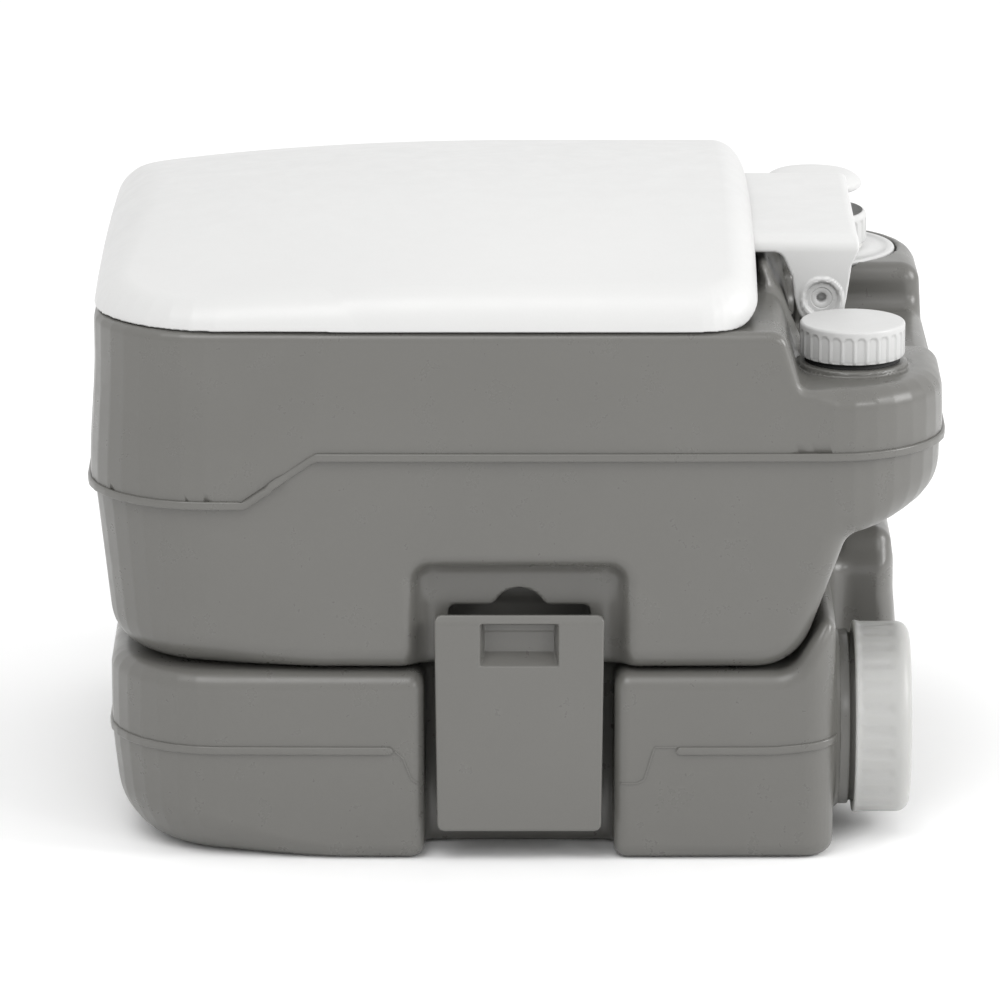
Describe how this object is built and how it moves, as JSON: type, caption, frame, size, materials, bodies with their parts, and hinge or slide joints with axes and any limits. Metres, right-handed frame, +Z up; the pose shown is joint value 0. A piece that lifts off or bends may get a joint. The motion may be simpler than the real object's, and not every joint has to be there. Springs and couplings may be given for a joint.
{
  "type": "portable camp toilet",
  "caption": "Two-tank portable camp toilet: hinged lid and seat over a bowl in a flush-water tank with hand pump, latched to a waste tank with slide valve and capped spout.",
  "frame": {"origin": "on the floor, under the middle of the width, between the front face and the rear of the tanks", "axes": "+Z up, front towards -Y, rear with caps and hinge towards +Y, sitter's left towards +X"},
  "size_m": [0.362, 0.413, 0.3028],
  "materials": {
    "grey_tank": "fine matt texture",
    "grey_latch": "fine matt texture",
    "white_gloss": "satin white",
    "white_cap": "satin white",
    "milky_cap": "milky, slightly see-through",
    "black_rubber": "matt",
    "grey_rubber": "matt",
    "white_inner": "plain moulded",
    "steel": "bright"
  },
  "bodies": {
    "waste_tank": {"lower_tank": "grey_tank", "valve_gasket": "black_rubber", "valve_frame_lower": "white_inner", "valve_frame_upper": "white_inner", "valve_lip_seal": "black_rubber", "valve_screws": "steel", "outlet_seal": "black_rubber", "latch_pin_left": "steel", "latch_pin_right": "steel"},
    "valve_slider": {"valve_blade": "white_inner", "valve_handle": "grey_latch"},
    "waste_seal": {"waste_cap_seal": "black_rubber"},
    "waste_cap": {"waste_cap": "milky_cap"},
    "latch_left": {"latch_left": "grey_latch"},
    "latch_right": {"latch_right": "grey_latch"},
    "water_tank": {"upper_tank": "grey_tank", "upper_tank_base": "grey_tank", "bowl": "grey_tank", "pump_plate": "white_gloss", "pump_barrel": "white_inner", "pump_foot_valve": "white_inner", "pump_collar": "white_gloss", "pump_gland_seal": "black_rubber", "flush_hose": "grey_rubber", "flush_nozzle": "white_inner", "hinge_pin_left": "white_inner", "hinge_pin_right": "white_inner"},
    "fill_seal": {"fill_gasket": "black_rubber"},
    "fill_cap": {"fill_cap": "white_cap"},
    "pump_piston": {"pump_piston": "white_inner", "piston_ring": "black_rubber", "pump_rod": "white_inner", "pump_knob": "white_gloss"},
    "seat": {"seat": "white_gloss", "seat_bumpers": "grey_rubber"},
    "lid": {"lid": "white_gloss", "lid_bumpers": "grey_rubber"}
  },
  "joints": [
    {"name": "upper_tank_lift", "type": "slide", "parent": "waste_tank", "child": "water_tank", "axis": [0, 0, 1], "range_m": [0, 0.12]},
    {"name": "seat_hinge", "type": "hinge", "parent": "water_tank", "child": "seat", "pos_m": [0, 0.15, 0.256], "axis": [-1, 0, 0], "range_deg": [0, 100]},
    {"name": "lid_hinge", "type": "hinge", "parent": "seat", "child": "lid", "pos_m": [0, 0.15, 0.256], "axis": [1, 0, 0], "range_deg": [-105, 0]},
    {"name": "fill_seal_rise", "type": "slide", "parent": "water_tank", "child": "fill_seal", "axis": [0, 0, 1], "range_m": [0, 0.0121]},
    {"name": "fill_cap_turn", "type": "hinge", "parent": "fill_seal", "child": "fill_cap", "pos_m": [0.123, 0.163, 0.24], "axis": [0, 0, 1], "range_deg": [0, 720]},
    {"name": "waste_seal_slide", "type": "slide", "parent": "waste_tank", "child": "waste_seal", "axis": [0, 1, 0], "range_m": [0, 0.0121]},
    {"name": "waste_cap_turn", "type": "hinge", "parent": "waste_seal", "child": "waste_cap", "pos_m": [0.12, 0.165, 0.056], "axis": [0, 1, 0], "range_deg": [0, 720]},
    {"name": "pump_stroke", "type": "slide", "parent": "water_tank", "child": "pump_piston", "axis": [0, 0, -1], "range_m": [0, 0.018]},
    {"name": "valve_slide", "type": "slide", "parent": "waste_tank", "child": "valve_slider", "axis": [0, -1, 0], "range_m": [0, 0.1]},
    {"name": "latch_left_hinge", "type": "hinge", "parent": "waste_tank", "child": "latch_left", "pos_m": [0.171, 0.0015, 0.024], "axis": [0, 1, 0], "range_deg": [0, 75]},
    {"name": "latch_right_hinge", "type": "hinge", "parent": "waste_tank", "child": "latch_right", "pos_m": [-0.171, 0.0015, 0.024], "axis": [0, -1, 0], "range_deg": [0, 75]}
  ],
  "couplings": [
    {"joint": "fill_seal_rise", "follows": "fill_cap_turn", "m_per_rad": 0.00095493},
    {"joint": "waste_seal_slide", "follows": "waste_cap_turn", "m_per_rad": 0.00095493}
  ]
}
